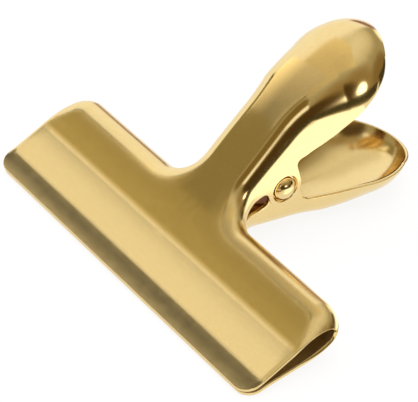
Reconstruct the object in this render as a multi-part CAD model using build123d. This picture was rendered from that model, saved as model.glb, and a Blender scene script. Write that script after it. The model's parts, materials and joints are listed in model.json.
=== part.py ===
"""Gold bulldog clip: two stamped levers that hinge on pressed domes, and a leaf spring between them.

The clip is drawn closed in its own frame, in millimetres: X across the jaws, Y from the lips to the
handle tips, and Z out from the plane where the jaws meet. It is then tilted to lie on its rear half.
"""
import os
from math import asin, atan, atan2, cos, degrees, radians, sin, tan

from build123d import *

# Sheet metal and its bends
sheet = 0.7
bend_r = 3.6
dome_sheet = 0.5

# Jaws
jaw_width = 76.0
lip_gap = 0.1
lip_band = 3.7
middle_band = 7.3
lip_corner_r = 3.0
shoulder_y = 21.3
corner_r = 6.0
corner_lean = 26.0
corner_room = 0.1

# Slope of each band of the side profile, in degrees out from the plane where the jaws meet
lip_slope = 3.5
middle_slope = 8.0
upper_slope = 14.2
neck_slope = 26.0
handle_slope = 9.8

# Where the profile turns out at the neck and back along the handle, and half the length of each turn
neck_turn_y = 21.1
neck_turn_half = 3.0
arch_turn_y = 43.1
arch_turn_half = 5.5

# Neck and handle
neck_half = 6.8
neck_r = 5.0
flare_angle = 17.0
flare_r = 18.0
head_r = 10.0
clip_length = 60.4
crown = 2.0
crown_start_y = 31.0

# Hinge: domes pressed out of the inner ears stand in holes of the outer ears
pivot_y = 32.4
outer_ear_r = 3.4
inner_ear_r = 3.1
ear_gap = 0.25
dome_r = 2.4
dome_clearance = 0.08
dome_rise = 1.5
dome_cap = 0.7

# Free edges of the turned-in flanges, as heights from the middle plane
shoulder_gap = 0.3
waist_y = 26.5
waist_rise = 1.9
edge_turn_y = 41.0
outer_edge_rises = (4.1, 4.9, 9.1)
inner_edge_rises = (6.2, 8.0, 10.2)
tip_edge_rise = 15.4
edge_r = 1.2

# Leaf spring
spring_sheet = 0.8
spring_width = 6.0
spring_y = 30.7
spring_r = 4.3
spring_flare = 40.0
foot_r = 1.4
foot_turn = 55.0
seat_gap = 0.3

# Numbers of sections along the jaw, the neck and handle, and the nose, and of places tried for the rest
section_counts = (3, 8, 3)
rest_tries = 400

# Derived places, and the reach of the solids that cut the sheet to shape
jaw_half = jaw_width / 2
band_y = lip_band + middle_band
head_y = clip_length - head_r
lean = tan(radians(corner_lean))
base_half = jaw_half + bend_r + corner_room
inner_neck_half = neck_half - sheet - ear_gap
hole_r = dome_r + dome_clearance
cap_ball_r = (dome_r**2 + dome_cap**2) / (2 * dome_cap)
reach = 10.0
tall = 5 * reach
near = 0.01
block_half = base_half + reach
block_depth = block_half + 2 * reach


def ramp(y, turn_y, half):
    """Height gained past a soft turn of the profile, for a change of slope of one."""
    if y <= turn_y - half:
        return 0.0
    if y >= turn_y + half:
        return y - turn_y
    return (y - turn_y + half) ** 2 / (4 * half)


def ramp_share(y, turn_y, half):
    """Share of a soft turn that is made at y."""
    return min(1.0, max(0.0, (y - turn_y + half) / (2 * half)))


grades = [tan(radians(a)) for a in (lip_slope, middle_slope, upper_slope, neck_slope, handle_slope)]
crease_half = sheet / 2
turns = [
    (lip_band, crease_half, grades[1] - grades[0]),
    (band_y, crease_half, grades[2] - grades[1]),
    (neck_turn_y, neck_turn_half, grades[3] - grades[2]),
    (arch_turn_y, arch_turn_half, grades[4] - grades[3]),
]


def outer_height(y):
    """Height of a lever's outer face over the middle plane, along the middle of the lever."""
    height = lip_gap / 2 + sheet + y * grades[0]
    height += sum(gain * ramp(y, turn_y, half) for turn_y, half, gain in turns)
    return height - crown * (max(0.0, y - head_y) / head_r) ** 2


def inner_height(y):
    """Height of a lever's inner face, one sheet inside the outer one."""
    grade = grades[0] + sum(gain * ramp_share(y, turn_y, half) for turn_y, half, gain in turns)
    return outer_height(y) - sheet / cos(atan(grade))


def crown_at(y):
    """Fall of the crowned handle from its middle line to head_r beside it."""
    share = min(1.0, max(0.0, (y - crown_start_y) / (head_y - crown_start_y)))
    return crown * share**2 * (3 - 2 * share)


def outline(half):
    """Face of a lever above its middle band, seen from the front, for a neck of this half width."""
    flare = radians(flare_angle)
    touch = (head_r * cos(flare), head_y - head_r * sin(flare))
    flare_y = touch[1] - (touch[0] - half) / tan(flare)
    foot = (base_half + lean * 2 * sheet, band_y - 2 * sheet)
    corner = (base_half - lean * (shoulder_y - band_y), shoulder_y)
    right = [foot, corner, (half, shoulder_y), (half, flare_y), touch]
    left = [(-x, y) for x, y in reversed(right)]
    sides = Polyline(*right) + Polyline(*left) + Line(left[-1], right[0])
    face = make_face(sides + ThreePointArc(touch, (0, clip_length), left[0]))
    for (x, y), radius in zip(right[1:4], (corner_r, neck_r, flare_r)):
        pair = [v for v in face.vertices() if abs(abs(v.X) - x) < near and abs(v.Y - y) < near]
        face = fillet(pair, radius)
    return face


def crowned_block(height):
    """Block under a lever's face from the middle band to past the tip, crowned along the handle."""
    ends = (band_y, shoulder_y, head_y, clip_length + sheet)
    stations = []
    for start, end, count in zip(ends, ends[1:], section_counts):
        stations += [start + (end - start) * i / count for i in range(count)]
    sections = []
    for y in stations + [ends[-1], ends[-1] + bend_r]:
        fall = crown_at(y) * (block_half / head_r) ** 2
        side = height(y) - fall
        top = Bezier((-block_half, side), (0, height(y) + fall), (block_half, side))
        walls = Polyline((block_half, side), (block_half, -block_depth), (-block_half, -block_depth),
                         (-block_half, side))
        sections.append(Plane.XZ.offset(-y) * make_face(top + walls))
    return loft(sections)


def bent_block(height, face, radius):
    """Crowned block cut to an outline, with its face bent round into its side walls."""
    block = crowned_block(height) & extrude(Pos(0, 0, -reach) * face, amount=tall)
    crowned_face = block.faces().filter_by(GeomType.BSPLINE)[0]
    rim = [e for e in crowned_face.edges() if (e @ 0.5).Y > band_y + near]
    return fillet(rim, radius)


def jaw_block(height, start_y, half):
    """Block under the flat lip and middle bands."""
    top = [(y, height(y)) for y in (0, lip_band, band_y)]
    top[0] = (start_y, height(0) + grades[0] * start_y)
    face = make_face(Polyline(*top, (band_y, -reach), (start_y, -reach), close=True))
    return extrude(Plane.YZ * face, amount=half, both=True)


def ear_cut(ear_r, edge_rises):
    """Space under the flanges' free edges, seen from the side, with the round ear left standing."""
    low = -2 * reach
    front = [(-reach, low), (-reach, 0), (lip_band, 0), (lip_band, shoulder_gap), (shoulder_y, shoulder_gap)]
    front += [(waist_y, waist_rise), (pivot_y - ear_r, waist_rise), (pivot_y - ear_r, low)]
    back = [(pivot_y + ear_r, low)]
    back += zip((pivot_y + ear_r, edge_turn_y, head_y), edge_rises)
    back += [(clip_length + sheet, tip_edge_rise), (clip_length + reach, low)]
    front_face = make_face(Polyline(*front, close=True))
    back_face = make_face(Polyline(*back, close=True))
    front_face = fillet([v for v in front_face.vertices() if v.Y == waist_rise], edge_r)
    back_face = fillet([v for v in back_face.vertices() if 0 < v.Y < tip_edge_rise], edge_r)
    under = Pos(pivot_y, low / 2) * Rectangle(2 * ear_r, -low) - Pos(pivot_y, 0) * Circle(ear_r)
    return extrude(Plane.YZ * (front_face + back_face + under), amount=block_half, both=True)


def blank():
    """Cut sheet seen from the front, with each lip corner taken off in two flats."""
    mid = lip_corner_r * (1 - cos(radians(45)))
    right = [(jaw_half - lip_corner_r, 0), (jaw_half - mid, mid), (jaw_half, lip_corner_r), (jaw_half, clip_length)]
    left = [(-x, y) for x, y in reversed(right)]
    return make_face(Polyline(*right, *left, close=True))


def lever(half, ear_r, edge_rises):
    """One stamped lever, front half up, before its hinge is pressed."""
    face = outline(half)
    outer = bent_block(outer_height, face, bend_r) + jaw_block(outer_height, 0, jaw_half)
    inner = bent_block(inner_height, offset(face, -sheet), bend_r - sheet)
    inner += jaw_block(inner_height, -reach, base_half)
    trim = extrude(Pos(0, 0, -reach) * blank(), amount=tall)
    return ((outer - inner) & trim) - ear_cut(ear_r, edge_rises)


def dome(radius, ball_r, start):
    """Round boss along X that ends in a shallow cap, part of a ball of ball_r."""
    middle_x = inner_neck_half + dome_rise - cap_ball_r
    spread = asin(radius / ball_r)
    rim = (middle_x + ball_r * cos(spread), radius)
    shoulder = (middle_x + ball_r * cos(spread / 2), ball_r * sin(spread / 2))
    tip = (middle_x + ball_r, 0)
    profile = Polyline(tip, (start, 0), (start, radius), rim) + ThreePointArc(rim, shoulder, tip)
    return revolve(make_face(profile), Axis.X)


def leaf_spring():
    """Strip bent to a U, with flared arms that end in rolled feet against the levers' inner faces."""
    bow = JernArc((spring_y - spring_r, 0), (0, 1), spring_r, spring_flare - 90)
    flare = radians(spring_flare)
    neck = radians(neck_slope)
    foot_out = foot_r + spring_sheet / 2
    touch_y = (bow @ 1).X + foot_r * sin(flare) - foot_out * sin(neck)
    touch_z = (bow @ 1).Y - foot_r * cos(flare) + foot_out * cos(neck)
    room = (inner_height(touch_y) - touch_z) * cos(neck) - seat_gap
    arm = PolarLine(bow @ 1, room / sin(flare - neck), spring_flare)
    foot = JernArc(arm @ 1, arm % 1, foot_r, -foot_turn)
    upper = bow + arm + foot
    strip = trace(upper + mirror(upper, Plane.XZ), spring_sheet)
    return extrude(Plane.YZ * strip, amount=spring_width / 2, both=True)


# The front lever, with a hole through both ears
hinge = Pos(0, pivot_y, 0)
front_half = lever(neck_half, outer_ear_r, outer_edge_rises)
front_half -= hinge * Rot(0, 90, 0) * Cylinder(hole_r, 2 * block_half)

# The rear lever, narrower at the neck so its ears nest inside, with a hollow dome on each ear
bosses = dome(dome_r, cap_ball_r, inner_neck_half - sheet / 2)
hollows = dome(dome_r - dome_sheet, cap_ball_r - dome_sheet, inner_neck_half - 2 * sheet)
rear_half = lever(inner_neck_half, inner_ear_r, inner_edge_rises)
rear_half += hinge * (bosses + mirror(bosses, Plane.YZ))
rear_half -= hinge * (hollows + mirror(hollows, Plane.YZ))
rear_half = mirror(rear_half, Plane.XY)

spring = leaf_spring()

# At rest the clip lies on the rear lip and on the arch of the rear handle
tries = [clip_length * i / rest_tries for i in range(1, rest_tries + 1)]
rest_tilt = max(atan2(outer_height(y) - outer_height(0), y) for y in tries)
lying = Rot(degrees(rest_tilt), 0, 0)
box = Compound([lying * front_half, lying * rear_half]).bounding_box()
place = Pos(0, -box.center().Y, -box.min.Z) * lying

os.makedirs("parts", exist_ok=True)
for name, piece in {"front_half": front_half, "rear_half": rear_half, "spring": spring}.items():
    export_step(place * piece, f"parts/{name}.step")
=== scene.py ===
"""Gold bulldog clip that lies on its rear half on a white table.

The two stamped levers are drawn as smooth bent sheets over the CAD frame, with the pressed hinge domes
and the leaf spring. Sizes are millimetres in the clip's own frame: x across the jaws, u from the lips to
the handle tips, and h out from the plane where the jaws meet. A placement then lays the clip on the table.
"""

import json
import logging
import math
from dataclasses import dataclass
from enum import Enum

import bmesh
import bpy
import numpy as np
from mathutils import Euler, Matrix, Vector

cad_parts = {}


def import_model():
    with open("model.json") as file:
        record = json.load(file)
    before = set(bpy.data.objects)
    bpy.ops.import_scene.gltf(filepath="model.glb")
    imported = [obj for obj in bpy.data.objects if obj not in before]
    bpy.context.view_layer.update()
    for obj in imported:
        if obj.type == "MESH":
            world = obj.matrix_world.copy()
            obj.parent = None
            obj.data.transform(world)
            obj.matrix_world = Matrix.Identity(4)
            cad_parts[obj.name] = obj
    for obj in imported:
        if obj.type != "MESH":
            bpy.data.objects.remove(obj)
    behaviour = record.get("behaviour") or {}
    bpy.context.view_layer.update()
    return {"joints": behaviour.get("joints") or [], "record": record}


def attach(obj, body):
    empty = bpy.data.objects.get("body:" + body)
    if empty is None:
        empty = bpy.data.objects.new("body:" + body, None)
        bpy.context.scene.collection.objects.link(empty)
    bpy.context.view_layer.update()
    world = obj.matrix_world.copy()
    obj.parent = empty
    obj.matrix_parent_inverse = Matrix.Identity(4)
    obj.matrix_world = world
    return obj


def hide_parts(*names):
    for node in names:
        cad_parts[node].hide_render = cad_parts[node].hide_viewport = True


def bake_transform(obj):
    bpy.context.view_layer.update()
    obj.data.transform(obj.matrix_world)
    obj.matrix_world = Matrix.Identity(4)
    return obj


LOG = logging.getLogger("bulldog_clip")
MM = 0.001

# In metres: points this close are one, and a face this small is none. TINY keeps a division from zero.
WELD = 1e-6
SLIVER = 1e-8
TINY = 1e-9

Pair = tuple[float, float]
Triple = tuple[float, float, float]
Arrays = tuple[np.ndarray, np.ndarray]
Tree = bpy.types.NodeTree
Socket = bpy.types.NodeSocket


class Side(Enum):
    """The two levers, by the way their outer face looks."""

    FRONT = 1.0
    REAR = -1.0


class Body(str, Enum):
    """CAD bodies that the pieces ride on."""

    FRONT = "front"
    REAR = "rear"


def linear_colour(code: str) -> tuple[float, float, float, float]:
    """Turn an sRGB hex code into linear light.

    Args:
        code: Six hex digits with a leading hash.

    Returns:
        Linear red, green, blue and an alpha of one.
    """
    parts = np.array([int(code[i : i + 2], 16) for i in (1, 3, 5)]) / 255.0
    light = np.where(parts <= 0.04045, parts / 12.92, ((parts + 0.055) / 1.055) ** 2.4)
    return (float(light[0]), float(light[1]), float(light[2]), 1.0)


def set_node(node: bpy.types.Node, *values: object, **settings: object) -> bpy.types.Node:
    """Set a node's properties and inputs.

    Args:
        node: Node to set.
        values: Inputs in the node's own order, each a plain value or another node's output to link.
        settings: Node properties, and more such inputs keyed by the socket's name with underscores.

    Returns:
        The same node.
    """
    inputs: list[tuple[int | str, object]] = list(enumerate(values))
    for key, value in settings.items():
        if hasattr(node, key):
            setattr(node, key, value)
        else:
            inputs.append((key.replace("_", " "), value))
    for key, value in inputs:
        if isinstance(value, Socket):
            node.id_data.links.new(value, node.inputs[key])
        else:
            node.inputs[key].default_value = value
    return node


def add_node(tree: Tree, kind: str, *values: object, **settings: object) -> bpy.types.Node:
    """Add one node to a tree, with its properties and inputs given as to set_node."""
    return set_node(tree.nodes.new(kind), *values, **settings)


def empty_material(name: str) -> bpy.types.Material:
    """Make a material without any nodes.

    Args:
        name: Name of the material.

    Returns:
        The material, whose tree is empty.
    """
    made = bpy.data.materials.new(name)
    made.use_nodes = True
    made.node_tree.nodes.clear()
    return made


def put_in_scene(name: str, data: bpy.types.ID) -> bpy.types.Object:
    """Make an object of a mesh, lamp or camera and link it to the scene.

    Args:
        name: Name of the object.
        data: What the object holds.

    Returns:
        The linked object.
    """
    made = bpy.data.objects.new(name, data)
    bpy.context.scene.collection.objects.link(made)
    return made


@dataclass(frozen=True)
class Placement:
    """How the closed clip lies in the row frame: tilted about X and set down by its hinge."""

    tilt: float
    pivot: Triple
    pivot_u: float

    def row(self, points: np.ndarray) -> np.ndarray:
        """Move points from the clip's frame to the row frame.

        Args:
            points: Places as (..., 3) x, u, h in millimetres.

        Returns:
            The same places in metres: u and h turned by the tilt, then moved with the hinge.
        """
        along = points[..., 1] - self.pivot_u
        out = points[..., 2]
        y = along * math.cos(self.tilt) - out * math.sin(self.tilt)
        z = along * math.sin(self.tilt) + out * math.cos(self.tilt)
        return np.stack((points[..., 0], y, z), axis=-1) * MM + np.array(self.pivot)


@dataclass(frozen=True)
class SideProfile:
    """Side profile of a lever: flat bands joined by soft turns, and a crown across the handle."""

    sheet: float = 0.7
    lip_gap: float = 0.1
    crease_half: float = 0.85
    crease_a: float = 3.7
    crease_b: float = 11.0
    upper_turn: float = 16.0
    upper_turn_half: float = 4.5
    neck_turn: float = 21.1
    neck_turn_half: float = 3.0
    arch_turn: float = 43.1
    arch_turn_half: float = 5.5
    lip_slope: float = 3.5
    middle_slope: float = 8.0
    upper_slope: float = 12.4
    shoulder_slope: float = 16.2
    neck_slope: float = 26.0
    handle_slope: float = 9.8
    crown: float = 2.0
    crown_start: float = 27.0
    head_u: float = 50.4
    head_r: float = 10.0

    def turns(self) -> list[Triple]:
        """Turns between the flat bands.

        Returns:
            Each turn's place, half its length and its change of slope.
        """
        jaw = (self.lip_slope, self.middle_slope, self.upper_slope, self.shoulder_slope)
        grades = np.tan(np.radians(jaw + (self.neck_slope, self.handle_slope)))
        places = (self.crease_a, self.crease_b, self.upper_turn, self.neck_turn, self.arch_turn)
        creases = (self.crease_half, self.crease_half)
        halves = creases + (self.upper_turn_half, self.neck_turn_half, self.arch_turn_half)
        return list(zip(places, halves, np.diff(grades)))

    def height(self, u: np.ndarray) -> np.ndarray:
        """Height of the outer face along the lever's middle line.

        The lip's straight slope, plus for each turn a parabola that eases into the next slope, less the
        nose's parabola past the head's centre.

        Args:
            u: Places along the clip.

        Returns:
            Heights over the plane where the jaws meet.
        """
        total = self.lip_gap / 2 + self.sheet + u * math.tan(math.radians(self.lip_slope))
        for place, half, gain in self.turns():
            eased = np.clip(u - place + half, 0.0, 2 * half) ** 2 / (4 * half)
            total = total + gain * (eased + np.maximum(u - place - half, 0.0))
        return total - self.crown * (np.maximum(u - self.head_u, 0.0) / self.head_r) ** 2

    def grade(self, u: np.ndarray) -> np.ndarray:
        """Slope of the outer face along the lever's middle line.

        Args:
            u: Places along the clip.

        Returns:
            Change of height per change of u: each turn adds its share linearly over its length.
        """
        total = np.full_like(u, math.tan(math.radians(self.lip_slope)))
        for place, half, gain in self.turns():
            total = total + gain * np.clip((u - place + half) / (2 * half), 0.0, 1.0)
        return total - 2 * self.crown * np.maximum(u - self.head_u, 0.0) / self.head_r**2

    def crown_fall(self, x: np.ndarray, u: np.ndarray) -> tuple[np.ndarray, np.ndarray, np.ndarray]:
        """Fall of the crowned handle beside its middle line.

        A parabola across the handle whose depth grows from nothing at the crown's start to the full
        crown at the head, by a smooth step.

        Args:
            x: Places across the clip.
            u: Places along the clip.

        Returns:
            The fall, and its slopes along x and along u.
        """
        span = self.head_u - self.crown_start
        share = np.clip((u - self.crown_start) / span, 0.0, 1.0)
        depth = self.crown * share**2 * (3 - 2 * share)
        depth_slope = self.crown * 6 * share * (1 - share) / span
        across = (x / self.head_r) ** 2
        return depth * across, 2 * depth * x / self.head_r**2, depth_slope * across


@dataclass(frozen=True)
class FreeEdge:
    """Free edge of a lever's turned-in flange, as a height over the middle plane for each u."""

    ear_r: float
    pivot_u: float
    notch_r: float
    waist: tuple[Pair, ...]
    handle: tuple[Pair, ...]
    ear_columns: int = 29
    notch_columns: int = 7
    column_gap: float = 0.004

    def height(self, u: np.ndarray) -> np.ndarray:
        """Height of the free edge.

        Straight runs joined through the given places, a half disc below the hinge for the ear, and a
        quarter circle on each side of it where the edge turns down into the ear.

        Args:
            u: Places along the clip.

        Returns:
            Heights of the free edge over the middle plane.
        """
        past = u - self.pivot_u
        waist_u, waist_h = np.array(self.waist).T
        handle_u, handle_h = np.array(self.handle).T
        run = np.where(past < 0, np.interp(u, waist_u, waist_h), np.interp(u, handle_u, handle_h))
        beside = np.clip(np.abs(past) - self.ear_r, 0.0, self.notch_r)
        run = run - self.notch_r + np.sqrt(self.notch_r**2 - (self.notch_r - beside) ** 2)
        ear = -np.sqrt(np.maximum(self.ear_r**2 - past**2, 0.0))
        return np.where(np.abs(past) <= self.ear_r, ear, run)

    def places(self) -> np.ndarray:
        """Places where the edge needs closely set columns.

        Returns:
            The u values: even steps round the ear's half disc, and round the notch on each side of it.
        """
        swing = np.cos(np.linspace(0.0, math.pi, self.ear_columns))
        notch = 1 - np.cos(np.linspace(0.0, math.pi / 2, self.notch_columns))
        beside = self.ear_r + self.column_gap + self.notch_r * notch
        return self.pivot_u + np.concatenate((self.ear_r * swing, beside, -beside))


@dataclass(frozen=True)
class Columns:
    """Columns of a lever's sheet, from its outline inwards: one row of each array per column."""

    edge: np.ndarray
    inward: np.ndarray
    bend_r: np.ndarray
    spine: np.ndarray


def line_points(start: Pair, end: Pair, count: int) -> Arrays:
    """Sample a straight stretch of an outline.

    Args:
        start: First point.
        end: Last point.
        count: Number of samples.

    Returns:
        Points, and unit directions to the right of travel.
    """
    share = np.linspace(0.0, 1.0, count)[:, None]
    step = np.subtract(end, start) / np.linalg.norm(np.subtract(end, start))
    points = np.array(start) + share * np.subtract(end, start)
    return points, np.broadcast_to((step[1], -step[0]), points.shape)


def arc_points(centre: Pair, radius: float, span: Pair, count: int) -> Arrays:
    """Sample a round stretch of an outline.

    Args:
        centre: Centre of the arc.
        radius: Radius of the arc.
        span: First and last angle in degrees.
        count: Number of samples.

    Returns:
        Points, and unit directions to the right of travel.
    """
    angle = np.radians(np.linspace(span[0], span[1], count))
    ray = np.stack((np.cos(angle), np.sin(angle)), axis=-1)
    return np.array(centre) + radius * ray, ray * np.sign(span[1] - span[0])


@dataclass(frozen=True)
class Outline:
    """Right half of a lever's outline seen from the front, travelled from the tip round to the lip."""

    neck_half: float
    jaw_half: float = 38.0
    lip_corner_r: float = 3.0
    shoulder_u: float = 21.3
    band_u: float = 11.0
    base_half: float = 42.1
    corner_r: float = 6.0
    corner_lean: float = 26.0
    neck_r: float = 5.0
    flare_angle: float = 17.0
    flare_r: float = 18.0
    head_r: float = 10.0
    head_u: float = 50.4
    head_bend: float = 6.4
    neck_bend: float = 3.9
    shoulder_bend: float = 4.6
    spine_u: float = 7.35
    spine_half: float = 36.5
    edge_width: float = 1.0
    spine_turn: float = 0.55
    spine_head: float = 0.5
    end_ease: float = 0.25
    samples: int = 400
    stretch_columns: tuple[int, ...] = (60, 16, 12, 20, 44, 56, 30)
    end_columns: int = 64
    lip_corner_columns: int = 14

    def corner_centre(self) -> Pair:
        """Centre of the shoulder corner's arc, which touches the shoulder and the leaning side.

        Returns:
            Its x and u.
        """
        lean = math.radians(self.corner_lean)
        tip = self.base_half - math.tan(lean) * (self.shoulder_u - self.band_u)
        return tip - self.corner_r * math.tan((math.pi / 2 - lean) / 2), self.shoulder_u - self.corner_r

    def corner_end(self) -> float:
        """Return the angle of the corner's arc, in degrees, where the end cut meets it."""
        return math.degrees(math.acos((self.jaw_half - self.corner_centre()[0]) / self.corner_r))

    def side_stretches(self) -> list[Arrays]:
        """Sample the flanged stretches of the outline, each of which touches the next.

        Returns:
            Points and inward directions of the head, flare, flare fillet, neck, neck fillet, shoulder and
            corner.
        """
        flare = math.radians(self.flare_angle)
        touch = (self.head_r * math.cos(flare), self.head_u - self.head_r * math.sin(flare))
        bend_u = touch[1] - (touch[0] - self.neck_half) / math.tan(flare)
        reach = self.flare_r * math.tan(flare / 2)
        flare_end = (self.neck_half + reach * math.sin(flare), bend_u + reach * math.cos(flare))
        flare_centre = (self.neck_half + self.flare_r, bend_u - reach)
        neck_end = (self.neck_half, self.shoulder_u + self.neck_r)
        shoulder_start = (self.neck_half + self.neck_r, self.shoulder_u)
        centre = self.corner_centre()
        many = self.samples
        return [
            arc_points((0.0, self.head_u), self.head_r, (90.0, -self.flare_angle), many),
            line_points(touch, flare_end, many),
            arc_points(flare_centre, self.flare_r, (180.0 - self.flare_angle, 180.0), many),
            line_points((self.neck_half, flare_centre[1]), neck_end, many),
            arc_points((shoulder_start[0], neck_end[1]), self.neck_r, (180.0, 270.0), many),
            line_points(shoulder_start, (centre[0], self.shoulder_u), many),
            arc_points(centre, self.corner_r, (90.0, self.corner_end()), many),
        ]

    def corner_distance(self, points: np.ndarray) -> Arrays:
        """Distance in from the rounded shoulder corner, for points near the end cut.

        Distance to the corner's arc inside its sector, and to the shoulder or the leaning side outside it.

        Args:
            points: Places as (..., 2) x, u.

        Returns:
            Distances, and the unit directions in which they grow.
        """
        lean = math.radians(self.corner_lean)
        off = points - np.array(self.corner_centre())
        angle = np.clip(np.arctan2(off[..., 1], off[..., 0]), lean, math.pi / 2)
        ray = np.stack((np.cos(angle), np.sin(angle)), axis=-1)
        return self.corner_r - np.sum(off * ray, axis=-1), -ray

    def side_columns(self, edge: FreeEdge) -> Columns:
        """Lay columns along the flanged part of the outline.

        Each column goes in to a point of the spine, which runs down the middle of the handle and then
        outwards along the jaw. Columns stand evenly on each stretch, and closely beside the ear.

        Args:
            edge: Free edge, which sets where columns stand close together.

        Returns:
            Columns from the tip to the end cut.
        """
        stretches = self.side_stretches()
        points = np.concatenate([p for p, _ in stretches])
        inward = np.concatenate([n for _, n in stretches])
        steps = np.linalg.norm(np.diff(points, axis=0), axis=1)
        length = np.concatenate(([0.0], np.cumsum(np.maximum(steps, TINY))))
        ends = np.concatenate(([0.0], length[self.samples - 1 :: self.samples]))
        runs = zip(ends, ends[1:], self.stretch_columns)
        base = np.concatenate([np.linspace(a, b, n, endpoint=False) for a, b, n in runs])
        base = np.append(base, ends[-1])
        side = slice(self.samples, 5 * self.samples)
        busy = np.interp(-edge.places(), -points[side, 1], length[side])
        clear = (base < busy.min()) | (base > busy.max())
        dip = ends[4] + self.spine_turn * (ends[5] - ends[4])
        place = np.sort(np.concatenate((base[clear], busy, (dip,))))
        drawn = np.stack([np.interp(place, length, points[:, i]) for i in (0, 1)], axis=-1)
        turned = np.stack([np.interp(place, length, inward[:, i]) for i in (0, 1)], axis=-1)
        turned = turned / np.linalg.norm(turned, axis=1)[:, None]
        radii = (self.head_bend, self.head_bend, self.neck_bend, self.neck_bend, self.neck_bend)
        bend = np.interp(place, ends, radii + (self.shoulder_bend,) * 3)
        spread = self.spine_half / self.jaw_half
        spine_x = np.interp(
            place,
            (dip, ends[5], ends[6], ends[7]),
            (0.0, spread * (self.neck_half + self.neck_r), spread * self.corner_centre()[0], self.spine_half),
        )
        neck_top = float(np.interp(ends[3], length, points[:, 1]))
        head_low = self.head_u - self.spine_head * self.head_r
        spine_u = np.interp(
            place,
            (0.0, ends[1], ends[3], ends[4], dip),
            (self.head_u, head_low, neck_top, self.shoulder_u + self.neck_r, self.spine_u),
        )
        return Columns(drawn, turned, bend, np.stack((spine_x, spine_u), axis=-1))

    def cut_columns(self, sides: Columns) -> Columns:
        """Lay columns along the bare cut edges: the end cut, the lip corner and the lip.

        Args:
            sides: Columns of the flanged part, whose spine points the lip's columns share.

        Returns:
            Columns from the end cut to the middle of the lip.
        """
        start = tuple(sides.edge[-1])
        lip_x = self.jaw_half - self.lip_corner_r
        end_points, end_in = line_points(start, (self.jaw_half, self.lip_corner_r), self.end_columns)
        centre = (lip_x, self.lip_corner_r)
        arc, arc_in = arc_points(centre, self.lip_corner_r, (0.0, -90.0), self.lip_corner_columns)
        ease = np.linspace(0.0, 1 / self.end_ease, self.end_columns)[:, None].clip(0.0, 1.0)
        end_in = sides.inward[-1] * (1 - ease) + end_in * ease
        end_in = end_in / np.linalg.norm(end_in, axis=1)[:, None]
        width = sides.bend_r[-1] * (1 - ease[:, 0]) + self.edge_width * ease[:, 0]
        shared = sides.spine[sides.spine[:, 1] <= self.spine_u][::-1]
        lip = np.stack((shared[:, 0] * lip_x / self.spine_half, np.zeros(len(shared))), axis=-1)
        corner = np.array((self.spine_half, self.spine_u))
        corners = np.broadcast_to(corner, (len(end_points) + len(arc) - 2, 2))
        return Columns(
            np.concatenate((end_points, arc[1:-1], lip)),
            np.concatenate((end_in, arc_in[1:-1], np.broadcast_to((0.0, 1.0), lip.shape))),
            np.concatenate((width, np.full(len(arc) - 2 + len(lip), self.edge_width))),
            np.concatenate((corners, shared)),
        )


class MeshStore:
    """Gathers grids of points and welds them into one mesh."""

    def __init__(self) -> None:
        """Start with no points and no faces."""
        self.points: list[np.ndarray] = []
        self.faces: list[np.ndarray] = []
        self.dull: list[np.ndarray] = []
        self.count = 0

    def add_grid(self, grid: np.ndarray, dull: float | np.ndarray = 0.0) -> None:
        """Add a grid of points as quads.

        Args:
            grid: Places as (columns, rows, 3).
            dull: How dull the sheet is at each point: zero on its polished side.
        """
        columns, rows = grid.shape[:2]
        index = self.count + np.arange(columns * rows).reshape(columns, rows)
        quads = np.stack((index[:-1, :-1], index[1:, :-1], index[1:, 1:], index[:-1, 1:]), axis=-1)
        self.points.append(grid.reshape(-1, 3))
        self.faces.append(quads.reshape(-1, 4))
        self.dull.append(np.broadcast_to(dull, (columns, rows)).ravel())
        self.count += columns * rows

    def add_mirrored(self, grid: np.ndarray, dull: float | np.ndarray = 0.0) -> None:
        """Add a grid and its mirror image across x.

        Args:
            grid: Places as (columns, rows, 3).
            dull: How dull the sheet is at each point.
        """
        self.add_grid(grid, dull)
        self.add_grid(grid * np.array((-1.0, 1.0, 1.0)), dull)

    def build(self, name: str, place: Placement, sharp: float = 40.0) -> bpy.types.Object:
        """Weld the grids into an object in the row frame.

        Args:
            name: Name of the object.
            place: How the clip lies.
            sharp: Angle in degrees above which an edge is shaded sharp.

        Returns:
            The linked object.
        """
        mesh = bpy.data.meshes.new(name)
        points = place.row(np.concatenate(self.points))
        mesh.from_pydata(points.tolist(), [], np.concatenate(self.faces).tolist())
        dull = mesh.attributes.new("dull", "FLOAT", "POINT")
        dull.data.foreach_set("value", np.concatenate(self.dull))
        work = bmesh.new()
        work.from_mesh(mesh)
        bmesh.ops.remove_doubles(work, verts=work.verts, dist=WELD)
        bmesh.ops.dissolve_degenerate(work, edges=work.edges, dist=SLIVER)
        bmesh.ops.recalc_face_normals(work, faces=work.faces)
        work.to_mesh(mesh)
        work.free()
        finish_shading(mesh, sharp)
        piece = put_in_scene(name, mesh)
        LOG.info("%s has %d faces", name, len(mesh.polygons))
        return piece


def finish_shading(mesh: bpy.types.Mesh, sharp: float) -> None:
    """Shade a mesh smooth, with sharp edges above an angle.

    Args:
        mesh: Mesh to shade.
        sharp: Angle in degrees.
    """
    mesh.polygons.foreach_set("use_smooth", np.ones(len(mesh.polygons), dtype=bool))
    mesh.set_sharp_from_angle(angle=math.radians(sharp))
    mesh.update()


def revolved(profile: np.ndarray, pivot_u: float, steps: int = 64) -> np.ndarray:
    """Turn a profile about the hinge axis.

    Args:
        profile: Points as (n, 2): place along x and radius.
        pivot_u: Place of the axis along the clip.
        steps: Number of steps round the axis.

    Returns:
        Grid of points as (steps + 1, n, 3): each radius carried round a circle in u and h.
    """
    angle = np.linspace(0.0, 2 * math.pi, steps + 1)[:, None]
    x = np.broadcast_to(profile[:, 0], (steps + 1, len(profile)))
    return np.stack((x, pivot_u + profile[:, 1] * np.cos(angle), profile[:, 1] * np.sin(angle)), axis=-1)


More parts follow.
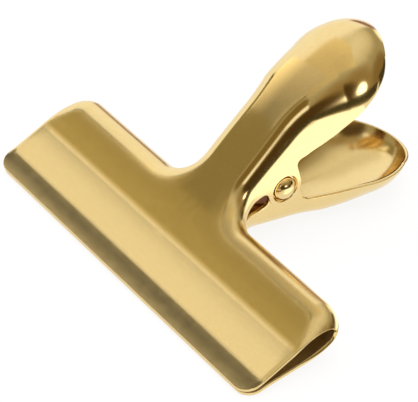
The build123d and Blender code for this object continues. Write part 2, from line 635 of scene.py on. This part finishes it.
class Dressed:
    """A sub-assembly of the clip, whose pieces take one finish each."""

    def dress(self, piece: bpy.types.Object, finish: "GoldPlate | SpringSteel") -> None:
        """Give a piece its finish."""
        piece.data.materials.clear()
        piece.data.materials.append(finish.material())


@dataclass
class Lever(Dressed):
    """One stamped lever: crowned face, bends, turned-in flanges and rounded sheared edges.

    The crease sizes say at which share of its rows a column crosses a crease of the jaw, how wide a band of
    rows is gathered there and how closely. The stretch sizes say how far past a bend its dulled plating
    reaches.
    """

    side: Side
    body: Body
    node: str
    outline: Outline
    edge: FreeEdge
    profile: SideProfile
    hole_r: float = 0.0
    ring_r: float = 0.0
    ring_depth: float = 0.3
    hole_sharp: float = 33.0
    edge_bulge: float = 0.12
    edge_roll: float = 0.1
    roll_start: float = 0.5
    least_wall: float = 0.02
    most_cut: float = 0.95
    handle_dullness: float = 0.2
    bend_dullness: float = 0.28
    stretch_reach: float = 1.5
    stretch_rows: float = 2.0
    bend_rows: int = 12
    inner_rows: int = 24
    wall_rows: int = 8
    rim_rows: int = 7
    crease_row: float = 0.6
    crease_band: float = 0.25
    crease_pack: float = 0.35
    crease_span: float = 0.1
    loose_span: float = 12.0

    def row_shares(self, start: np.ndarray, spine: np.ndarray) -> np.ndarray:
        """Share of the way from the bends to the spine for each row of each column.

        Rows stand close together where a column crosses one of the jaw's two creases, so that the creases
        run straight along the rows. Columns of the handle, and those that start between the creases, have
        even rows.

        Args:
            start: Inner ends of the bends as (columns, 2).
            spine: Spine points as (columns, 2).

        Returns:
            Shares as (columns, rows).
        """
        low, high = self.profile.crease_a, self.profile.crease_b
        even = np.linspace(0.0, 1.0, self.inner_rows + 1)[1:]
        mid = self.crease_row
        near = np.abs(even - mid) < self.crease_band
        packed = np.where(near, mid + (even - mid) * self.crease_pack, even)
        crease = np.where(start[:, 1] > high, high, low)
        span = start[:, 1] - spine[:, 1]
        span = np.where(np.abs(span) < self.crease_span, self.crease_span, span)
        hit = np.clip((start[:, 1] - crease) / span, 0.0, 1.0)[:, None]
        eased = np.where(packed < mid, packed / mid * hit, hit + (packed - mid) / (1 - mid) * (1 - hit))
        far = np.clip((spine[:, 1] - high) / self.loose_span, 0.0, 1.0)[:, None]
        held = (start[:, 1] > low) & (start[:, 1] < high)
        loose = np.where(held[:, None], 1.0, far * far * (3 - 2 * far))
        return eased * (1 - loose) + even * loose

    def first_angle(self, edge: np.ndarray, radius: np.ndarray) -> np.ndarray:
        """Angle at which a bend starts, where the free edge stops it before it is upright.

        Args:
            edge: Outline points as (..., 2).
            radius: Bend radius at each point.

        Returns:
            Angles in radians whose sine is the share of the bend that is missing, and zero for a whole bend.
        """
        fall = self.profile.crown_fall(edge[..., 0], edge[..., 1])[0]
        room = self.profile.height(edge[..., 1]) - fall - self.edge.height(edge[..., 1])
        return np.arcsin(np.clip(1 - room / radius, 0.0, self.most_cut))

    def skin(self, columns: Columns, flanged: bool) -> Arrays:
        """Outer skin of the face and its bends.

        Rows go in from the outline, first over the bend by equal angles, then straight to the spine. The
        height is the side profile less the crown's fall, less the bend's quarter circle.

        Args:
            columns: Columns of this part of the sheet.
            flanged: Whether the bend follows the outline itself; otherwise it follows the shoulder corner.

        Returns:
            Points and outward unit normals as (columns, rows, 3).
        """
        share = np.linspace(0.0, 1.0, self.bend_rows + 1)
        first = np.zeros((len(columns.edge), 1))
        if flanged:
            first = self.first_angle(columns.edge, columns.bend_r)[:, None]
        angle = first + (math.pi / 2 - first) * share
        depth = columns.bend_r[:, None] * (np.cos(first) - np.cos(angle))
        bend = columns.edge[:, None, :] + columns.inward[:, None, :] * depth[..., None]
        share = self.row_shares(bend[:, -1], columns.spine)[..., None]
        inner = bend[:, -1:] * (1 - share) + columns.spine[:, None, :] * share
        plan = np.concatenate((bend, inner), axis=1)
        x, u = plan[..., 0], plan[..., 1]
        fall, fall_x, fall_u = self.profile.crown_fall(x, u)
        slope = np.stack((-fall_x, self.profile.grade(u) - fall_u), axis=-1)
        roll = np.zeros_like(x)
        if flanged:
            lean = np.concatenate((angle, np.full((len(x), self.inner_rows), math.pi / 2)), axis=1)
            toward = np.broadcast_to(columns.inward[:, None, :], plan.shape)
            radius = np.broadcast_to(columns.bend_r[:, None], x.shape)
        else:
            distance, toward = self.outline.corner_distance(plan)
            nearest = plan - toward * distance[..., None]
            radius = np.full_like(x, self.outline.shoulder_bend)
            missing = radius * (1 - np.cos(self.first_angle(nearest, radius)))
            lean = np.arccos(np.clip(1 - (distance + missing) / radius, 0.0, 1.0))
            width = self.outline.edge_width
            left = np.clip(1 - (self.outline.jaw_half - x) / width, 0.0, 1.0)
            left = left * np.clip((u - self.roll_start) / self.profile.crease_a, 0.0, 1.0)
            roll = self.edge_roll * left**2
            slope[..., 0] -= 2 * self.edge_roll * left / width
        h = self.profile.height(u) - fall - radius * (1 - np.sin(lean)) - roll
        flat = -np.sin(lean)[..., None] * slope - np.cos(lean)[..., None] * toward
        normal = np.concatenate((flat, np.sin(lean)[..., None]), axis=-1)
        normal = normal / np.linalg.norm(normal, axis=-1)[..., None]
        return np.stack((x, u, h), axis=-1), normal

    def walls(self, columns: Columns, top: np.ndarray) -> Arrays:
        """Outer skin of the flange, straight down from the bend to the free edge.

        Args:
            columns: Columns of the flanged part.
            top: Points at the bend's outer end as (columns, 3).

        Returns:
            Points and outward unit normals as (columns, rows, 3), from the free edge up.
        """
        free = np.minimum(self.edge.height(columns.edge[:, 1]), top[:, 2] - self.least_wall)
        share = np.linspace(0.0, 1.0, self.wall_rows + 1)
        h = free[:, None] * (1 - share) + top[:, 2:] * share
        plan = np.broadcast_to(top[:, None, :2], h.shape + (2,))
        out = np.broadcast_to(-columns.inward[:, None, :], plan.shape)
        normal = np.concatenate((out, np.zeros(h.shape + (1,))), axis=-1)
        return np.concatenate((plan, h[..., None]), axis=-1), normal

    def jaw_share(self, points: np.ndarray) -> np.ndarray:
        """Share of the jaw at each point.

        Args:
            points: Places as (..., 3).

        Returns:
            One in the jaw, easing along the neck's fillet to zero on the handle.
        """
        past = self.outline.shoulder_u + self.outline.neck_r - points[..., 1]
        return np.clip(past / self.outline.neck_r, 0.0, 1.0)

    def stretched(self, points: np.ndarray, flanged: bool) -> np.ndarray:
        """Share of the plating that bending has stretched.

        One over the bend and falling evenly to zero past it: by rows where the sheet has a flange, and
        otherwise by the distance in from the shoulder corner.

        Args:
            points: Places as (columns, rows, 3).
            flanged: Whether the bend follows the outline itself.

        Returns:
            Shares that fit the points.
        """
        if flanged:
            past = (np.arange(points.shape[1]) - self.bend_rows) / self.stretch_rows
        else:
            past = self.outline.corner_distance(points[..., :2])[0] / self.outline.shoulder_bend
        return np.clip(self.stretch_reach - past, 0.0, 1.0)

    def rim(self, outer: np.ndarray, normal: np.ndarray) -> np.ndarray:
        """Rounded edge of the sheet along its whole border.

        Half an ellipse from the outer skin to the inner one, which bulges outwards in the sheet's plane. The
        border's two ends lie on the clip's middle line and bulge straight along it.

        Args:
            outer: Border points of the outer skin as (n, 3).
            normal: Outward unit normals there.

        Returns:
            Grid of points as (n, rows, 3).
        """
        half = self.profile.sheet / 2
        middle = outer - half * normal
        along = np.gradient(middle, axis=0)
        away = np.cross(normal, along)
        away[0, 0] = 0.0
        away[-1, 0] = 0.0
        away = away / np.maximum(np.linalg.norm(away, axis=1), TINY)[:, None]
        angle = np.linspace(math.pi / 2, -math.pi / 2, self.rim_rows)
        through = half * np.sin(angle)[None, :, None] * normal[:, None, :]
        bulge = self.edge_bulge * np.cos(angle)[None, :, None] * away[:, None, :]
        return middle[:, None, :] + through + bulge

    def build(self, place: Placement) -> bpy.types.Object:
        """Build the lever's sheet.

        Args:
            place: How the clip lies.

        Returns:
            The lever as one closed sheet, with hinge holes where it has them.
        """
        sides = self.outline.side_columns(self.edge)
        cuts = self.outline.cut_columns(sides)
        face, face_out = self.skin(sides, True)
        bare, bare_out = self.skin(cuts, False)
        bare[0] = face[-1]
        bare_out[0] = face_out[-1]
        wall, wall_out = self.walls(sides, face[:, 0])
        store = MeshStore()
        flip = np.array((1.0, 1.0, self.side.value))
        sheets = ((face, face_out, True), (bare, bare_out, False), (wall, wall_out, True))
        for points, normal, flanged in sheets:
            jaw = self.jaw_share(points)
            outside = self.bend_dullness * jaw * self.stretched(points, flanged)
            inside = self.handle_dullness + (1 - self.handle_dullness) * jaw
            store.add_mirrored(points * flip, outside)
            store.add_mirrored((points - self.profile.sheet * normal) * flip, inside)
        border = np.concatenate((wall[:, 0], wall[-1, 1:], bare[1:, 0]))
        border_out = np.concatenate((wall_out[:, 0], wall_out[-1, 1:], bare_out[1:, 0]))
        store.add_mirrored(self.rim(border, border_out) * flip)
        piece = store.build(self.node.replace("half", "lever"), place)
        if self.hole_r > 0.0:
            self.pierce(piece, place)
        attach(piece, self.body.value)
        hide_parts(self.node)
        return piece

    def pierce(self, piece: bpy.types.Object, place: Placement) -> None:
        """Cut the hinge holes, with a coined ring round each, through both ears.

        Args:
            piece: The lever's sheet.
            place: How the clip lies.
        """
        face = self.outline.neck_half
        far = face + self.profile.sheet
        brink = (face - self.ring_depth, self.hole_r)
        ring = np.array((brink, (face, self.ring_r), (far, self.ring_r), (far, 0.0)))
        profile = np.concatenate((ring[::-1] * (-1.0, 1.0), ring[:1] * (0.0, 1.0), ring))
        store = MeshStore()
        store.add_grid(revolved(profile, self.edge.pivot_u))
        cutter = store.build("hinge_hole_cutter", place)
        cut = piece.modifiers.new("hinge_holes", "BOOLEAN")
        cut.operation = "DIFFERENCE"
        cut.solver = "EXACT"
        cut.object = cutter
        graph = bpy.context.evaluated_depsgraph_get()
        pierced = bpy.data.meshes.new_from_object(piece.evaluated_get(graph))
        piece.modifiers.clear()
        whole = piece.data
        piece.data = pierced
        bpy.data.meshes.remove(whole)
        bpy.data.objects.remove(cutter)
        finish_shading(pierced, self.hole_sharp)


@dataclass
class HingeDome(Dressed):
    """Hollow dome pressed out of an inner ear, which stands in the outer ear's hole."""

    sign: float
    neck_half: float
    pivot_u: float
    radius: float = 2.2
    rise: float = 2.05
    cap: float = 1.7
    root: float = 0.3
    sheet: float = 0.5
    cap_rows: int = 15

    def build(self, place: Placement, name: str) -> bpy.types.Object:
        """Build the dome.

        The profile is a short wall, a rounded shoulder and a shallow cap, then the same inside, and is
        turned about the hinge axis.

        Args:
            place: How the clip lies.
            name: Name of the piece.

        Returns:
            The dome, riding on the rear lever.
        """
        base = self.neck_half - self.root
        top = self.neck_half + self.rise
        bore = self.radius - self.sheet
        swing = np.linspace(0.0, math.pi / 2, self.cap_rows)
        fall = self.cap * (1 - np.sin(swing))
        outer = np.stack((top - fall, self.radius * np.cos(swing)), axis=-1)
        hollow = np.stack((top - self.sheet - fall, bore * np.cos(swing)), axis=-1)
        wall = np.array(((base, self.radius),))
        inside = np.array(((base, bore),))
        profile = np.concatenate((wall, outer, hollow[::-1], inside, wall))
        grid = revolved(profile, self.pivot_u) * np.array((self.sign, 1.0, 1.0))
        store = MeshStore()
        store.add_grid(grid)
        piece = store.build(name, place)
        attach(piece, Body.REAR.value)
        return piece


@dataclass
class LeafSpring(Dressed):
    """Spring strip bent to a U, with flared arms that end in rolled feet."""

    sheet: float = 0.8
    width: float = 6.0
    bow_u: float = 30.7
    bow_r: float = 4.3
    flare: float = 40.0
    arm: float = 11.12
    foot_r: float = 1.4
    foot_turn: float = 55.0
    corner: float = 0.16
    bow_rows: int = 40
    arm_rows: int = 24
    foot_rows: int = 16

    def path(self) -> np.ndarray:
        """Middle line of the strip, from one foot round the bow to the other.

        Half the bow's arc up to the flare, a straight arm along its tangent and a foot that curls in, then
        their mirror image.

        Returns:
            Points as (n, 2) u and h.
        """
        swing = np.radians(np.linspace(0.0, 90.0 - self.flare, self.bow_rows))
        bow = np.stack((self.bow_u - self.bow_r * np.cos(swing), self.bow_r * np.sin(swing)), axis=-1)
        lean = math.radians(self.flare)
        way = np.array((math.cos(lean), math.sin(lean)))
        arm = bow[-1] + np.linspace(0.0, self.arm, self.arm_rows)[1:, None] * way
        side = np.array((way[1], -way[0]))
        turn = np.radians(np.linspace(0.0, self.foot_turn, self.foot_rows))[1:, None]
        foot = arm[-1] + self.foot_r * (np.sin(turn) * way + (1 - np.cos(turn)) * side)
        half = np.concatenate((bow, arm, foot))
        return np.concatenate((half[:0:-1] * (1.0, -1.0), half))

    def build(self, place: Placement) -> bpy.types.Object:
        """Sweep a chamfered strip section along the path and close its two ends.

        Args:
            place: How the clip lies.

        Returns:
            The spring.
        """
        path = self.path()
        along = np.gradient(path, axis=0)
        along = along / np.linalg.norm(along, axis=1)[:, None]
        side = np.stack((-along[:, 1], along[:, 0]), axis=-1)
        half, thick, cut = self.width / 2, self.sheet / 2, self.corner
        right = [(half - cut, thick), (half, thick - cut), (half, cut - thick), (half - cut, -thick)]
        left = [(-x, -h) for x, h in right]
        section = np.array(right + left + right[:1])
        grid = np.zeros((len(path), len(section), 3))
        grid[..., 0] = section[:, 0]
        grid[..., 1:] = path[:, None, :] + side[:, None, :] * section[None, :, 1:]
        store = MeshStore()
        store.add_grid(grid)
        for end in (grid[0], grid[-1]):
            store.add_grid(np.stack((end[: len(right)], end[-2 : len(right) - 1 : -1]), axis=0))
        piece = store.build("leaf_spring", place)
        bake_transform(piece)
        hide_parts("spring")
        return piece


@dataclass(frozen=True)
class GoldPlate:
    """Bright gold-coloured plating over pressed steel, duller inside the sheet and where bends stretch it."""

    name: str = "gold_plated_steel"
    bright: str = "#F3DBA0"
    deep: str = "#E4C686"
    roughness: float = 0.13
    roughness_drift: float = 0.02
    dull_roughness: float = 0.5
    mottle: float = 2.2
    mottle_detail: float = 3.0
    grain: float = 0.3
    grain_detail: float = 2.0
    grain_share: float = 0.7
    grain_depth: float = 0.003
    grain_strength: float = 0.5

    def material(self) -> bpy.types.Material:
        """Return the plating as a material, made once.

        Returns:
            A metal whose colour drifts between two golds, with a fine bumped grain.
        """
        found = bpy.data.materials.get(self.name)
        if found:
            return found
        made = bpy.data.materials.new(self.name)
        made.use_nodes = True
        tree = made.node_tree
        where = add_node(tree, "ShaderNodeTexCoord").outputs["Object"]
        sizes = ((self.mottle, self.mottle_detail), (self.grain, self.grain_detail))
        noises = [
            add_node(tree, "ShaderNodeTexNoise", Vector=where, Scale=1 / (size * MM), Detail=detail)
            for size, detail in sizes
        ]
        drift, fine = (noise.outputs["Fac"] for noise in noises)
        both = add_node(tree, "ShaderNodeMix", Factor=self.grain_share, A=drift, B=fine)
        colour = add_node(
            tree,
            "ShaderNodeMix",
            data_type="RGBA",
            Factor=both.outputs["Result"],
            A=linear_colour(self.deep),
            B=linear_colour(self.bright),
        )
        rough = add_node(
            tree,
            "ShaderNodeMapRange",
            Value=drift,
            To_Min=self.roughness - self.roughness_drift,
            To_Max=self.roughness + self.roughness_drift,
        )
        level = add_node(tree, "ShaderNodeAttribute", attribute_name="dull").outputs["Fac"]
        dull = add_node(tree, "ShaderNodeMix", Factor=level, A=rough.outputs["Result"], B=self.dull_roughness)
        depth = self.grain_depth * MM
        bump = add_node(tree, "ShaderNodeBump", Strength=self.grain_strength, Distance=depth, Height=fine)
        set_node(
            tree.nodes["Principled BSDF"],
            Metallic=1.0,
            Base_Color=colour.outputs["Result"],
            Roughness=dull.outputs["Result"],
            Normal=bump.outputs["Normal"],
        )
        return made


@dataclass(frozen=True)
class SpringSteel:
    """Tempered spring steel strip in a dark brown, partly the steel's own colour and partly painted shade for
    the dark gap by the ears where the strip shows.
    """

    name: str = "spring_steel_strip"
    # painted shade: this brown is darker than the bare steel so the strip reads as the shaded gap between the
    # ears
    colour: str = "#9A6C4A"
    roughness: float = 0.3

    def material(self) -> bpy.types.Material:
        """Return the strip's steel as a material, made once.

        Returns:
            An even metal.
        """
        made = bpy.data.materials.get(self.name) or bpy.data.materials.new(self.name)
        made.use_nodes = True
        shade = made.node_tree.nodes["Principled BSDF"]
        set_node(shade, Metallic=1.0, Base_Color=linear_colour(self.colour), Roughness=self.roughness)
        return made


def room_direction(bearing: float, height: float) -> Triple:
    """Direction in the room from the clip.

    Args:
        bearing: Degrees from the clip's left end, growing towards its handles.
        height: Degrees above the table.

    Returns:
        Unit vector in the row frame.
    """
    turn, rise = math.radians(bearing), math.radians(height)
    return (-math.cos(turn) * math.cos(rise), math.sin(turn) * math.cos(rise), math.sin(rise))


@dataclass(frozen=True)
class Spot:
    """Round part of the room: where it lies, the angle it fills, the angle where it ends, and its tone.

    Bearing, height and both angles are in degrees, the angles from the spot's middle.
    """

    bearing: float
    height: float
    full: float
    fade: float
    colour: str
    strength: float

    def lay_over(self, tree: Tree, ray: Socket, light: Socket) -> Socket:
        """Add nodes that lay the spot over the light behind it.

        The spot's share of a ray is one inside its full angle and eases to zero at its end.

        Args:
            tree: The room's node tree.
            ray: Direction of each ray.
            light: The light behind the spot.

        Returns:
            The light with the spot over it.
        """
        middle = room_direction(self.bearing, self.height)
        dot = add_node(tree, "ShaderNodeVectorMath", ray, middle, operation="DOT_PRODUCT")
        ease = add_node(
            tree,
            "ShaderNodeMapRange",
            interpolation_type="SMOOTHSTEP",
            Value=dot.outputs["Value"],
            From_Min=math.cos(math.radians(self.fade)),
            From_Max=math.cos(math.radians(self.full)),
        )
        tone = Vector(linear_colour(self.colour)[:3]) * self.strength
        over = add_node(
            tree, "ShaderNodeMix", data_type="VECTOR", Factor=ease.outputs["Result"], A=light, B=tone
        )
        return over.outputs["Result"]


@dataclass(frozen=True)
class Strips:
    """Tones that follow each other across the room along one direction."""

    across: Triple
    tones: tuple[tuple[float, str], ...]

    def build(self, tree: Tree, ray: Socket) -> Socket:
        """Add nodes that read the tones by how far a ray goes along the direction.

        Args:
            tree: The room's node tree.
            ray: Direction of each ray.

        Returns:
            The tone as light.
        """
        way = Vector(self.across).normalized()
        dot = add_node(tree, "ShaderNodeVectorMath", ray, way, operation="DOT_PRODUCT")
        place = add_node(tree, "ShaderNodeMapRange", Value=dot.outputs["Value"], From_Min=-1.0)
        ramp = add_node(tree, "ShaderNodeValToRGB", Fac=place.outputs["Result"])
        stops = ramp.color_ramp.elements
        while len(stops) < len(self.tones):
            stops.new(1.0)
        for stop, (where, code) in zip(stops, self.tones):
            stop.position = (where + 1.0) / 2.0
            stop.color = linear_colour(code)
        return ramp.outputs["Color"]


@dataclass(frozen=True)
class Card:
    """A card near the clip that only the metal mirrors, in millimetres from the middle of one edge.

    Tones are given for the two ends of three lines along the card: its first edge, the depth where it has
    faded, and its last edge.
    """

    name: str
    edge: Triple
    along: Triple
    rise: Triple
    size: Pair
    tones: tuple[float, float, float, float, float, float]
    fade: float
    colour: str = "#FFECA8"

    def build(self) -> bpy.types.Object:
        """Build the card.

        Returns:
            The card, seen only in reflections.
        """
        across = Vector(self.along).normalized() * self.size[0] / 2
        rise = Vector(self.rise).normalized()
        depths = (0.0, self.fade, self.size[1])
        start = Vector(self.edge)
        corners = [(start + across * end + rise * depth) * MM for depth in depths for end in (-1, 1)]
        mesh = bpy.data.meshes.new(self.name)
        mesh.from_pydata(corners, [], [(0, 1, 3, 2), (2, 3, 5, 4)])
        mesh.attributes.new("tone", "FLOAT", "POINT").data.foreach_set("value", self.tones)
        piece = put_in_scene(self.name, mesh)
        paint = empty_material(self.name)
        tree = paint.node_tree
        level = add_node(tree, "ShaderNodeAttribute", attribute_name="tone").outputs["Fac"]
        glow = add_node(tree, "ShaderNodeEmission", Color=linear_colour(self.colour), Strength=level)
        add_node(tree, "ShaderNodeOutputMaterial", Surface=glow.outputs["Emission"])
        mesh.materials.append(paint)
        piece.visible_camera = False
        piece.visible_diffuse = False
        piece.visible_shadow = False
        return piece


@dataclass(frozen=True)
class Studio:
    """White table, dim room with strips and patches of light, and the camera.

    The table, the lamp and the nearest distance seen are in metres, and the other sizes in millimetres.
    """

    table_size: float = 6.0
    table_white: Triple = (0.95, 0.95, 0.95)
    shadow_share: float = 0.12
    lamp_size: float = 1.6
    lamp_height: float = 1.2
    lamp_energy: float = 16.0
    aim: Triple = (1.587, -12.506, 10.0)
    azimuth: float = 52.522
    elevation: float = 37.128
    roll: float = 2.998
    distance: float = 410.13
    lens: float = 204.78
    sensor: float = 36.0
    nearest: float = 0.01

    def walls(self) -> Strips:
        """Tones of the room itself, from below to above.

        Returns:
            Dim walls under a pale ceiling.
        """
        dim = ((-1.0, "#AEA68C"), (0.62, "#AEA68C"), (0.70, "#BAB39C"))
        pale = ((0.78, "#D1CBB8"), (0.88, "#E2DDCC"), (1.0, "#F0EDE3"))
        return Strips((-0.15, 0.15, 0.977), dim + pale)

    def spots(self) -> list[Spot]:
        """Parts of the room that differ from its walls.

        Returns:
            The spots, later ones over earlier ones.
        """
        # Bearing, height, full angle and end in degrees, then colour and strength.
        return [
            Spot(180.0, 12.0, 24.0, 50.0, "#B8A070", 0.68),
            Spot(125.0, 8.0, 14.0, 28.0, "#B49A68", 0.55),
            Spot(-108.0, 42.0, 8.0, 18.0, "#A08850", 0.6),
            Spot(-155.0, 15.0, 15.0, 25.0, "#8A6A3A", 0.3),
            Spot(12.0, 8.0, 41.0, 50.0, "#FDFEFF", 1.12),
            Spot(-41.0, 36.0, 6.0, 10.0, "#FFECA8", 0.3),
            Spot(-32.0, 24.0, 7.0, 13.0, "#FFFFFF", 1.15),
            Spot(50.0, 7.0, 9.0, 14.0, "#A07E7E", 1.0),
            Spot(75.0, 5.0, 8.0, 16.0, "#FFFFFF", 1.4),
            Spot(-130.0, 33.0, 4.0, 8.0, "#FFFFFF", 1.2),
            Spot(172.0, 13.0, 8.0, 12.0, "#FFFFFF", 3.0),
            Spot(-18.0, 48.0, 8.0, 11.0, "#FFFCF5", 1.1),
        ]

    def cards(self) -> list[Card]:
        """Cards for the parts of the metal that mirror something near the clip.

        Returns:
            Cards for the lip, the shoulders with the neck, the arch of the handle, its head, the jaw's right
            end, the flange with the ear, and the hollow of the rear handle.
        """
        return [
            Card(
                "lip_card",
                edge=(-76.8, -44.8, 93.0),
                along=(0.992, -0.025, 0.124),
                rise=(0.0, 0.99, 0.13),
                size=(150.0, 9.2),
                tones=(0.15, 0.15, 0.0, 0.0, 0.0, 0.0),
                fade=3.2,
            ),
            Card(
                "neck_card",
                edge=(-210.0, -106.0, 244.0),
                along=(0.968, -0.077, 0.24),
                rise=(-0.32, -0.93, -0.17),
                size=(460.0, 300.0),
                tones=(0.64, 0.64, 0.29, 0.29, 0.29, 0.29),
                fade=46.0,
            ),
            Card(
                "arch_card",
                edge=(-44.0, -13.5, 50.0),
                along=(0.483, 0.876, 0.0),
                rise=(1.0, 0.0, 0.0),
                size=(35.4, 42.0),
                tones=(1.4, 1.75, 0.28, 0.7, 0.52, 0.6),
                fade=20.0,
                colour="#FFF4D8",
            ),
            Card(
                "head_card",
                edge=(-52.2, -6.7, 82.0),
                along=(0.41, 0.91, 0.0),
                rise=(1.0, 0.0, 0.0),
                size=(50.0, 80.0),
                tones=(0.52, 0.98, 0.52, 0.8, 0.52, 0.8),
                fade=50.0,
                colour="#FFF0C8",
            ),
            Card(
                "right_card",
                edge=(105.0, 10.0, 0.0),
                along=(-0.25, 0.97, 0.0),
                rise=(0.0, 0.0, 1.0),
                size=(170.0, 36.0),
                tones=(0.3, 0.3, 0.06, 0.06, 0.06, 0.06),
                fade=12.0,
            ),
            Card(
                "flange_card",
                edge=(18.0, 15.0, 0.6),
                along=(0.0, 1.0, 0.0),
                rise=(1.0, 0.0, 0.0),
                size=(34.0, 70.0),
                tones=(1.75,) * 6,
                fade=20.0,
                colour="#FFFFFF",
            ),
            Card(
                "back_card",
                edge=(48.0, 118.0, 0.0),
                along=(0.9, -0.43, 0.0),
                rise=(0.0, 0.0, 1.0),
                size=(70.0, 46.0),
                tones=(0.3, 0.3, 0.06, 0.06, 0.06, 0.06),
                fade=12.0,
            ),
        ]

    def build_table(self) -> None:
        """Build the table: white to the camera and in reflections, and a plain white sheet to the light."""
        half = self.table_size / 2
        corners = [(x * half, y * half, 0.0) for x, y in ((-1, -1), (1, -1), (1, 1), (-1, 1))]
        mesh = bpy.data.meshes.new("table")
        mesh.from_pydata(corners, [], [(0, 1, 2, 3)])
        table = put_in_scene("table", mesh)
        paint = empty_material("white_table")
        tree = paint.node_tree
        path = add_node(tree, "ShaderNodeLightPath").outputs
        seen = path["Is Camera Ray"]
        for kind in ("Is Glossy Ray", "Is Transmission Ray"):
            seen = add_node(tree, "ShaderNodeMath", seen, path[kind], operation="MAXIMUM").outputs["Value"]
        share = add_node(tree, "ShaderNodeMath", seen, 1.0 - self.shadow_share, operation="MULTIPLY")
        plain = add_node(tree, "ShaderNodeBsdfDiffuse", Color=(*self.table_white, 1.0)).outputs["BSDF"]
        white = add_node(tree, "ShaderNodeEmission", Strength=1.0).outputs["Emission"]
        mix = add_node(tree, "ShaderNodeMixShader", share.outputs["Value"], plain, white)
        add_node(tree, "ShaderNodeOutputMaterial", Surface=mix.outputs["Shader"])
        mesh.materials.append(paint)

    def build_room(self) -> None:
        """Build the room's dim light with its soft patches, and a broad lamp that lights the table."""
        world = bpy.data.worlds.new("room")
        bpy.context.scene.world = world
        world.use_nodes = True
        tree = world.node_tree
        ray = add_node(tree, "ShaderNodeTexCoord").outputs["Generated"]
        light = self.walls().build(tree, ray)
        for spot in self.spots():
            light = spot.lay_over(tree, ray, light)
        set_node(tree.nodes["Background"], Color=light)
        lamp = bpy.data.lights.new("ceiling_lamp", "AREA")
        lamp.shape = "SQUARE"
        lamp.size = self.lamp_size
        lamp.energy = self.lamp_energy
        lamp.specular_factor = 0.0
        holder = put_in_scene("ceiling_lamp", lamp)
        holder.location = (0.0, 0.0, self.lamp_height)
        holder.visible_glossy = False

    def build_camera(self) -> None:
        """Set the camera where the photograph was taken from."""
        lens = bpy.data.cameras.new("camera")
        lens.sensor_width = self.sensor
        lens.lens = self.lens
        lens.clip_start = self.nearest
        holder = put_in_scene("camera", lens)
        tilt = math.radians(90.0 - self.elevation)
        turn = Euler((tilt, 0.0, math.radians(self.azimuth)), "XYZ").to_matrix()
        turn = turn @ Matrix.Rotation(math.radians(self.roll), 3, "Z")
        stand = Vector(self.aim) + turn @ Vector((0.0, 0.0, self.distance))
        holder.matrix_world = Matrix.LocRotScale(stand * MM, turn, None)
        bpy.context.scene.camera = holder

    def build(self) -> None:
        """Build the whole set and choose a plain view transform."""
        self.build_table()
        self.build_room()
        for card in self.cards():
            card.build()
        self.build_camera()
        bpy.context.scene.view_settings.view_transform = "Standard"


@dataclass
class BulldogClip:
    """The whole clip: two levers, two hinge domes and the leaf spring.

    The waist and the handle's runs are places of a flange's free edge, as u and height over the middle plane.
    """

    place: Placement
    pivot_u: float = 32.4
    outer_neck: float = 6.8
    inner_neck: float = 5.85
    outer_ear_r: float = 3.4
    inner_ear_r: float = 3.1
    notch_r: float = 1.2
    hole_r: float = 2.48
    ring_r: float = 2.7
    waist: tuple[Pair, ...] = ((0.0, 0.3), (21.3, 0.3), (26.5, 1.9), (32.4, 1.9))
    outer_handle: tuple[Pair, ...] = (
        (32.4, 4.1), (38.0, 4.2), (41.0, 4.9), (43.5, 5.8),
        (46.5, 7.2), (50.4, 9.1), (56.0, 11.4), (61.0, 15.2),
    )
    inner_handle: tuple[Pair, ...] = (
        (32.4, 6.2), (36.0, 6.5), (41.0, 8.0), (46.0, 9.1),
        (50.4, 10.2), (56.0, 11.8), (61.0, 15.2),
    )

    def build(self) -> None:
        """Build and dress every piece."""
        profile = SideProfile()
        gold = GoldPlate()
        front = Lever(
            Side.FRONT,
            Body.FRONT,
            "front_half",
            Outline(self.outer_neck),
            FreeEdge(self.outer_ear_r, self.pivot_u, self.notch_r, self.waist, self.outer_handle),
            profile,
            hole_r=self.hole_r,
            ring_r=self.ring_r,
        )
        rear = Lever(
            Side.REAR,
            Body.REAR,
            "rear_half",
            Outline(self.inner_neck),
            FreeEdge(self.inner_ear_r, self.pivot_u, self.notch_r, self.waist, self.inner_handle),
            profile,
        )
        for lever in (front, rear):
            lever.dress(lever.build(self.place), gold)
        for name, sign in (("hinge_dome_right", 1.0), ("hinge_dome_left", -1.0)):
            dome = HingeDome(sign, self.inner_neck, self.pivot_u)
            dome.dress(dome.build(self.place, name), gold)
        spring = LeafSpring()
        spring.dress(spring.build(self.place), SpringSteel())


def main() -> None:
    """Load the frame and build the clip and its set."""
    logging.basicConfig(level=logging.INFO)
    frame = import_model()
    grip = next(m for m in frame["record"]["mounts"] if m["name"] == "jaw_grip")
    hinge = frame["joints"][0]
    tilt = math.atan2(-grip["axis"][2], -grip["axis"][1])
    clip = BulldogClip(Placement(tilt, tuple(hinge["pos_m"]), BulldogClip.pivot_u))
    clip.build()
    Studio().build()


if __name__ == "__main__":
    main()
